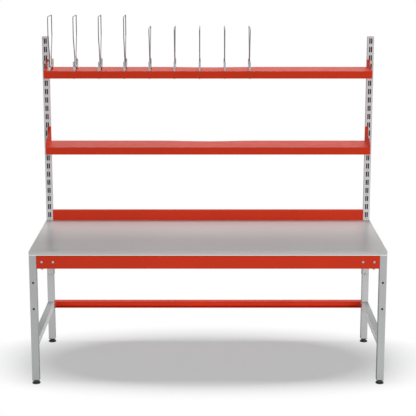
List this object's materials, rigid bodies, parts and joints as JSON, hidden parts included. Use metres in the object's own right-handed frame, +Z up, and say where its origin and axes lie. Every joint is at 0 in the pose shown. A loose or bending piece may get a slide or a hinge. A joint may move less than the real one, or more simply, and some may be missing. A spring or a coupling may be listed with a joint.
{
  "type": "packing table",
  "caption": "Steel-framed packing table with a laminate worktop, slotted rear uprights, two hooked tray shelves and wire dividers plugged into the upper shelf.",
  "frame": {"origin": "on the floor, at the centre of the outline of the whole table", "axes": "+Z up, +Y from the front edge of the worktop towards the uprights, +X along the table to the right"},
  "size_m": [1.966, 0.7796, 2.008],
  "materials": {
    "red_paint": "smooth satin red powder coat on folded sheet steel",
    "grey_paint": "light grey satin powder coat on steel tube",
    "upright_steel": "pale grey satin coat on slotted rectangular steel tube",
    "zinc_steel": "bright zinc-plated steel",
    "wire_steel": "bright plated round wire",
    "laminate_board": "wood-based board faced with plain pale grey laminate",
    "edge_band": "pale grey plastic edge band",
    "black_plastic": "black moulded plastic"
  },
  "bodies": {
    "table": {"beam_bolts": "zinc_steel", "corner_bolts": "zinc_steel", "corner_bracket_front_left": "zinc_steel", "corner_bracket_front_right": "zinc_steel", "corner_bracket_rear_left": "zinc_steel", "corner_bracket_rear_right": "zinc_steel", "end_plate_bolts": "zinc_steel", "front_beam": "red_paint", "leg_front_left": "grey_paint", "leg_front_right": "grey_paint", "leg_plug_front_left": "black_plastic", "leg_plug_front_right": "black_plastic", "leg_plug_rear_left": "black_plastic", "leg_plug_rear_right": "black_plastic", "leg_rear_left": "grey_paint", "leg_rear_right": "grey_paint", "low_rail_left": "grey_paint", "low_rail_right": "grey_paint", "lower_stretcher": "red_paint", "rear_beam": "red_paint", "rear_upstand": "red_paint", "top_rail_left": "grey_paint", "top_rail_right": "grey_paint", "upright_bolts": "zinc_steel", "upright_left": "upright_steel", "upright_right": "upright_steel", "worktop": "laminate_board", "worktop_edge": "edge_band", "worktop_screws": "zinc_steel"},
    "upper_shelf_unit": {"upper_shelf": "red_paint", "upper_bracket_left": "red_paint", "upper_bracket_right": "red_paint", "upper_shelf_screws": "zinc_steel"},
    "lower_shelf_unit": {"lower_shelf": "red_paint", "lower_bracket_left": "red_paint", "lower_bracket_right": "red_paint", "lower_shelf_screws": "zinc_steel"},
    "divider_1": {"divider_wire_1": "wire_steel", "divider_clip_1": "zinc_steel"},
    "divider_2": {"divider_wire_2": "wire_steel", "divider_clip_2": "zinc_steel"},
    "divider_3": {"divider_wire_3": "wire_steel", "divider_clip_3": "zinc_steel"},
    "divider_4": {"divider_wire_4": "wire_steel", "divider_clip_4": "zinc_steel"},
    "divider_5": {"divider_wire_5": "wire_steel", "divider_clip_5": "zinc_steel"},
    "divider_6": {"divider_wire_6": "wire_steel", "divider_clip_6": "zinc_steel"},
    "divider_7": {"divider_wire_7": "wire_steel", "divider_clip_7": "zinc_steel"},
    "divider_8": {"divider_wire_8": "wire_steel", "divider_clip_8": "zinc_steel"},
    "divider_9": {"divider_wire_9": "wire_steel", "divider_clip_9": "zinc_steel"},
    "foot_body_front_left": {"foot_front_left": "black_plastic"},
    "foot_body_front_right": {"foot_front_right": "black_plastic"},
    "foot_body_rear_left": {"foot_rear_left": "black_plastic"},
    "foot_body_rear_right": {"foot_rear_right": "black_plastic"}
  },
  "joints": [
    {"name": "upper_shelf_lift", "type": "slide", "parent": "table", "child": "upper_shelf_unit", "axis": [0, 0, 1], "range_m": [0, 0.01]},
    {"name": "lower_shelf_lift", "type": "slide", "parent": "table", "child": "lower_shelf_unit", "axis": [0, 0, 1], "range_m": [0, 0.01]},
    {"name": "divider_1_lift", "type": "slide", "parent": "upper_shelf_unit", "child": "divider_1", "axis": [0, 0, 1], "range_m": [0, 0.05]},
    {"name": "divider_2_lift", "type": "slide", "parent": "upper_shelf_unit", "child": "divider_2", "axis": [0, 0, 1], "range_m": [0, 0.05]},
    {"name": "divider_3_lift", "type": "slide", "parent": "upper_shelf_unit", "child": "divider_3", "axis": [0, 0, 1], "range_m": [0, 0.05]},
    {"name": "divider_4_lift", "type": "slide", "parent": "upper_shelf_unit", "child": "divider_4", "axis": [0, 0, 1], "range_m": [0, 0.05]},
    {"name": "divider_5_lift", "type": "slide", "parent": "upper_shelf_unit", "child": "divider_5", "axis": [0, 0, 1], "range_m": [0, 0.05]},
    {"name": "divider_6_lift", "type": "slide", "parent": "upper_shelf_unit", "child": "divider_6", "axis": [0, 0, 1], "range_m": [0, 0.05]},
    {"name": "divider_7_lift", "type": "slide", "parent": "upper_shelf_unit", "child": "divider_7", "axis": [0, 0, 1], "range_m": [0, 0.05]},
    {"name": "divider_8_lift", "type": "slide", "parent": "upper_shelf_unit", "child": "divider_8", "axis": [0, 0, 1], "range_m": [0, 0.05]},
    {"name": "divider_9_lift", "type": "slide", "parent": "upper_shelf_unit", "child": "divider_9", "axis": [0, 0, 1], "range_m": [0, 0.05]},
    {"name": "foot_front_left_level", "type": "slide", "parent": "table", "child": "foot_body_front_left", "axis": [0, 0, 1], "range_m": [-0.015, 0.003]},
    {"name": "foot_front_right_level", "type": "slide", "parent": "table", "child": "foot_body_front_right", "axis": [0, 0, 1], "range_m": [-0.015, 0.003]},
    {"name": "foot_rear_left_level", "type": "slide", "parent": "table", "child": "foot_body_rear_left", "axis": [0, 0, 1], "range_m": [-0.015, 0.003]},
    {"name": "foot_rear_right_level", "type": "slide", "parent": "table", "child": "foot_body_rear_right", "axis": [0, 0, 1], "range_m": [-0.015, 0.003]}
  ]
}
